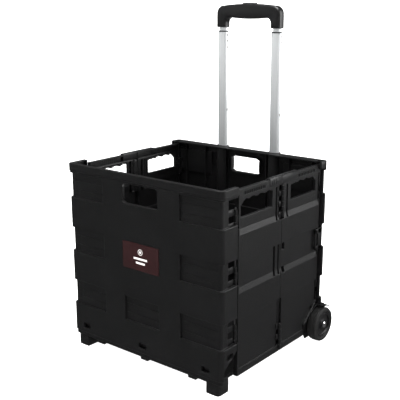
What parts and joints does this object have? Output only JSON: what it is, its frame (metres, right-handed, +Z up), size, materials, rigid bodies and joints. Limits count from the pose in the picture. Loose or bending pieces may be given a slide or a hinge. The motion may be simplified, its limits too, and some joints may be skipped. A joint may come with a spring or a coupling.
{
  "type": "folding shopping trolley",
  "caption": "Folding plastic crate trolley on two wheels with hinged side panels, a fold-up floor and a two-stage telescopic pull handle.",
  "frame": {"origin": "on the ground under the middle of the trolley's bounding box", "axes": "+Z up, -Y out of the front panel, +X to the right seen from the front"},
  "size_m": [0.4612, 0.398, 0.747],
  "materials": {
    "black_plastic": "fine-grained matte black polypropylene",
    "tyre_rubber": "matt black solid tyre",
    "aluminium_tube": "satin drawn tube",
    "steel": "plain wire and turned steel",
    "chrome_cap": "bright domed cap",
    "label_plate": "dark red plate with a plain pictogram"
  },
  "bodies": {
    "trolley": {"rear_panel": "black_plastic", "tube_mouth_bezel_right": "black_plastic", "tube_mouth_bezel_left": "black_plastic", "wheel_bracket_right": "black_plastic", "wheel_bracket_left": "black_plastic", "bracket_screw_1_right": "steel", "bracket_screw_1_left": "steel", "bracket_screw_2_right": "steel", "bracket_screw_2_left": "steel", "stub_axle_right": "steel", "stub_axle_left": "steel", "axle_cap_right": "chrome_cap", "axle_cap_left": "chrome_cap", "rear_hinge_pin_right": "steel", "rear_hinge_pin_left": "steel"},
    "wheel_right": {"tyre_right": "tyre_rubber", "wheel_hub_right": "black_plastic"},
    "wheel_left": {"tyre_left": "tyre_rubber", "wheel_hub_left": "black_plastic"},
    "side_rear_right_half": {"side_rear_right": "black_plastic", "mid_hinge_pin_1_right": "steel", "mid_hinge_pin_2_right": "steel"},
    "side_rear_left_half": {"side_rear_left": "black_plastic", "mid_hinge_pin_1_left": "steel", "mid_hinge_pin_2_left": "steel"},
    "side_front_right_half": {"side_front_right": "black_plastic", "front_hinge_pin_right": "steel"},
    "side_front_left_half": {"side_front_left": "black_plastic", "front_hinge_pin_left": "steel"},
    "side_lock_bar_right": {"side_lock_right": "black_plastic"},
    "side_lock_bar_left": {"side_lock_left": "black_plastic"},
    "front": {"front_panel": "black_plastic", "label_plate": "label_plate", "floor_hinge_pin": "steel", "front_foot_right": "black_plastic", "front_foot_left": "black_plastic"},
    "floor": {"floor_panel": "black_plastic"},
    "handle_lower": {"lower_tube_right": "aluminium_tube", "lower_tube_left": "aluminium_tube", "tube_collar_right": "black_plastic", "tube_collar_left": "black_plastic", "lower_glide_right": "black_plastic", "lower_glide_left": "black_plastic"},
    "handle_upper": {"upper_tube_right": "aluminium_tube", "upper_tube_left": "aluminium_tube", "upper_glide_right": "black_plastic", "upper_glide_left": "black_plastic", "pull_rod_right": "steel", "pull_rod_left": "steel", "grip": "black_plastic"},
    "button": {"release_button": "black_plastic", "button_spring": "steel"}
  },
  "joints": [
    {"name": "fold_right_rear", "type": "hinge", "parent": "trolley", "child": "side_rear_right_half", "pos_m": [0.199, 0.156, 0.2], "axis": [0, 0, -1], "range_deg": [0, 90]},
    {"name": "fold_right_front", "type": "hinge", "parent": "side_rear_right_half", "child": "side_front_right_half", "pos_m": [0.207, 0.006, 0.2], "axis": [0, 0, 1], "range_deg": [0, 180]},
    {"name": "fold_front_panel", "type": "hinge", "parent": "side_front_right_half", "child": "front", "pos_m": [0.199, -0.144, 0.2], "axis": [0, 0, -1], "range_deg": [0, 90]},
    {"name": "fold_left_rear", "type": "hinge", "parent": "trolley", "child": "side_rear_left_half", "pos_m": [-0.199, 0.156, 0.2], "axis": [0, 0, 1], "range_deg": [0, 90]},
    {"name": "fold_left_front", "type": "hinge", "parent": "side_rear_left_half", "child": "side_front_left_half", "pos_m": [-0.207, 0.006, 0.2], "axis": [0, 0, -1], "range_deg": [0, 180]},
    {"name": "floor_fold", "type": "hinge", "parent": "front", "child": "floor", "pos_m": [0, -0.184, 0.0214], "axis": [1, 0, 0], "range_deg": [0, 90]},
    {"name": "side_lock_slide_right", "type": "slide", "parent": "side_rear_right_half", "child": "side_lock_bar_right", "axis": [0, 1, 0], "range_m": [0, 0.052]},
    {"name": "side_lock_slide_left", "type": "slide", "parent": "side_rear_left_half", "child": "side_lock_bar_left", "axis": [0, 1, 0], "range_m": [0, 0.052]},
    {"name": "handle_lower_slide", "type": "slide", "parent": "trolley", "child": "handle_lower", "axis": [0, 0, 1], "range_m": [-0.262, 0]},
    {"name": "handle_upper_slide", "type": "slide", "parent": "handle_lower", "child": "handle_upper", "axis": [0, 0, 1], "range_m": [-0.0065, 0.248]},
    {"name": "release_button_press", "type": "slide", "parent": "handle_upper", "child": "button", "axis": [0, 0, -1], "range_m": [0, 0.0035], "stiffness_N_per_m": 500, "springref_m": -0.001, "deforming": ["button_spring"]},
    {"name": "wheel_spin_right", "type": "hinge", "parent": "trolley", "child": "wheel_right", "pos_m": [0.215, 0.16, 0.039], "axis": [1, 0, 0], "continuous": true},
    {"name": "wheel_spin_left", "type": "hinge", "parent": "trolley", "child": "wheel_left", "pos_m": [-0.215, 0.16, 0.039], "axis": [1, 0, 0], "continuous": true}
  ],
  "couplings": [
    {"joint": "fold_right_front", "follows": "fold_right_rear", "ratio": 2},
    {"joint": "fold_front_panel", "follows": "fold_right_rear", "ratio": 1},
    {"joint": "fold_left_rear", "follows": "fold_right_rear", "ratio": 1},
    {"joint": "fold_left_front", "follows": "fold_right_rear", "ratio": 2}
  ]
}
